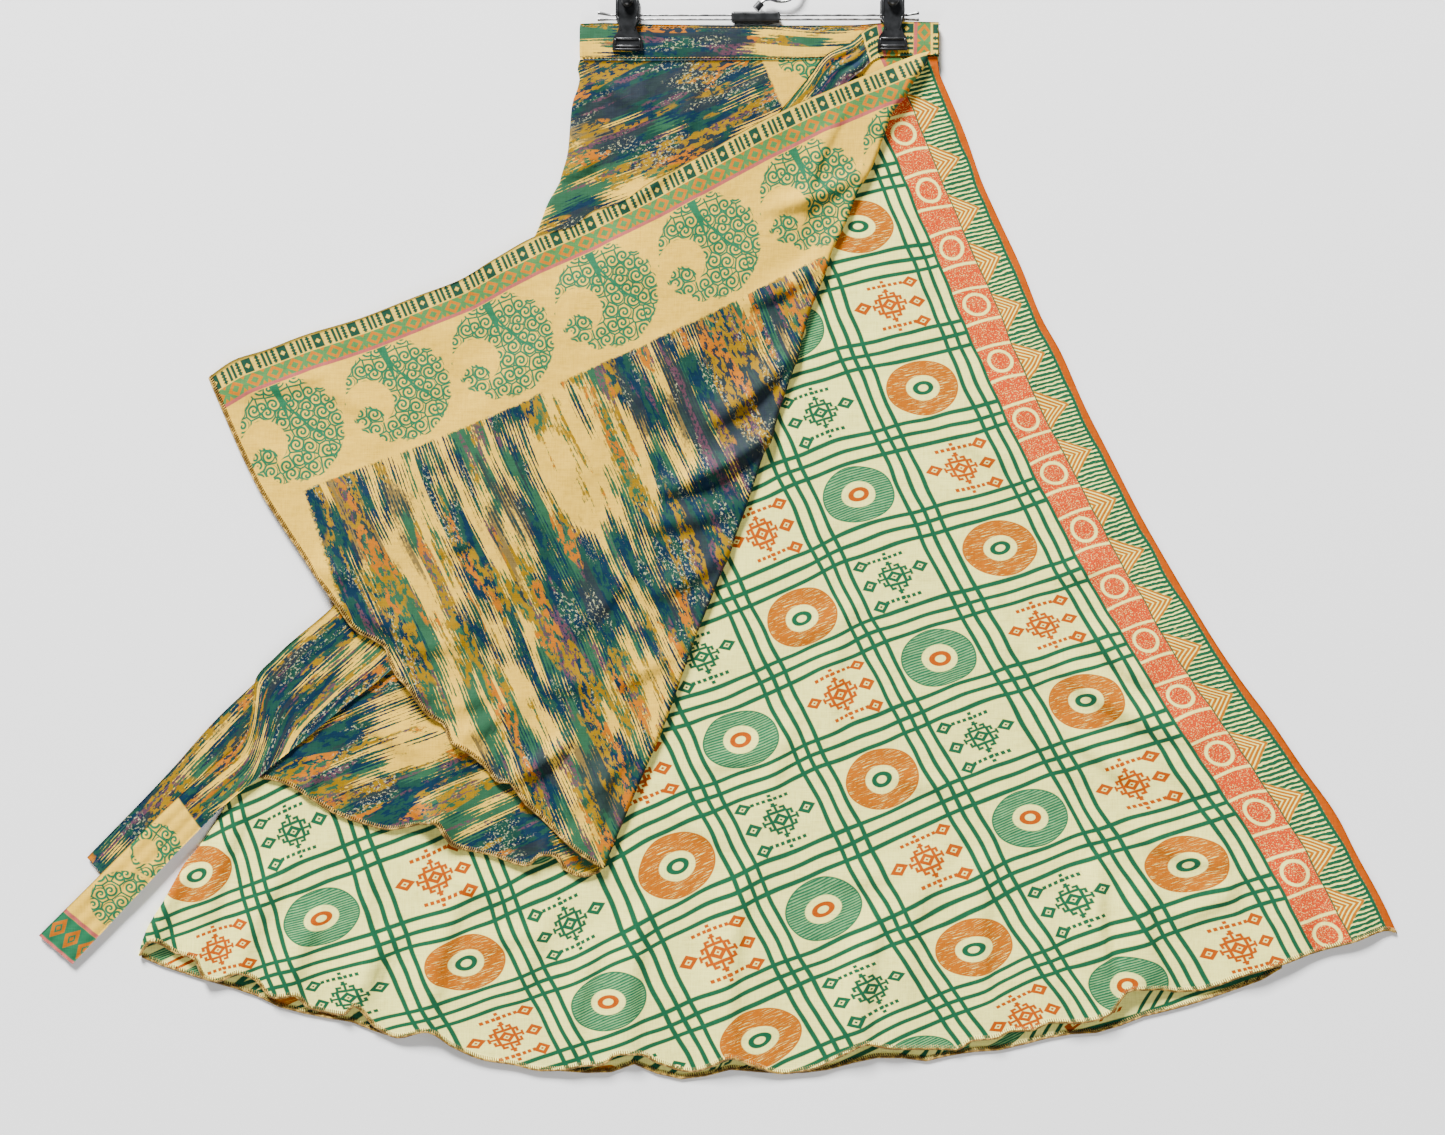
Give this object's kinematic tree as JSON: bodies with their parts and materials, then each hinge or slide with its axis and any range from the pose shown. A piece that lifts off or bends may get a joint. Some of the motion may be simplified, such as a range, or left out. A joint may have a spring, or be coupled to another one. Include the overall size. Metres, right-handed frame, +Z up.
{
  "type": "wrap skirt with clip hanger",
  "caption": "Long two-layer wrap skirt laid flat, its shorter outer front folded back as a flap over its waist ties, the waistband held by a clip hanger.",
  "frame": {"origin": "centre of the object's box, on the surface that it lies on", "axes": "+Z up from the surface, +Y towards the waistband and the hanger's hook, +X to the right as seen from above"},
  "size_m": [1.2462, 1.0267, 0.02],
  "materials": {
    "inner_print": "soft slubbed sari cloth, cream with green, orange and coral print",
    "outer_print": "soft sari cloth, beige with blue, green and orange brush strokes",
    "band_print": "folded sari cloth, topstitched",
    "tie_print": "folded sari cloth with printed end border",
    "chrome_wire": "bright drawn wire",
    "black_plastic": "semi-gloss moulded plastic"
  },
  "bodies": {
    "root": {"inner_skirt_panel": "inner_print", "outer_skirt_panel": "outer_print", "waistband": "band_print", "tie_upper": "tie_print", "tie_lower": "tie_print", "hanger_bar_wire_low": "chrome_wire", "hanger_bar_wire_high": "chrome_wire", "hanger_hook": "chrome_wire", "hanger_hook_boss": "black_plastic", "hanger_saddle": "black_plastic", "clip_left_back_jaw": "black_plastic", "clip_left_front_jaw": "black_plastic", "clip_left_slider": "black_plastic", "clip_left_rivet": "black_plastic", "clip_right_back_jaw": "black_plastic", "clip_right_front_jaw": "black_plastic", "clip_right_slider": "black_plastic", "clip_right_rivet": "black_plastic"}
  },
  "joints": []
}
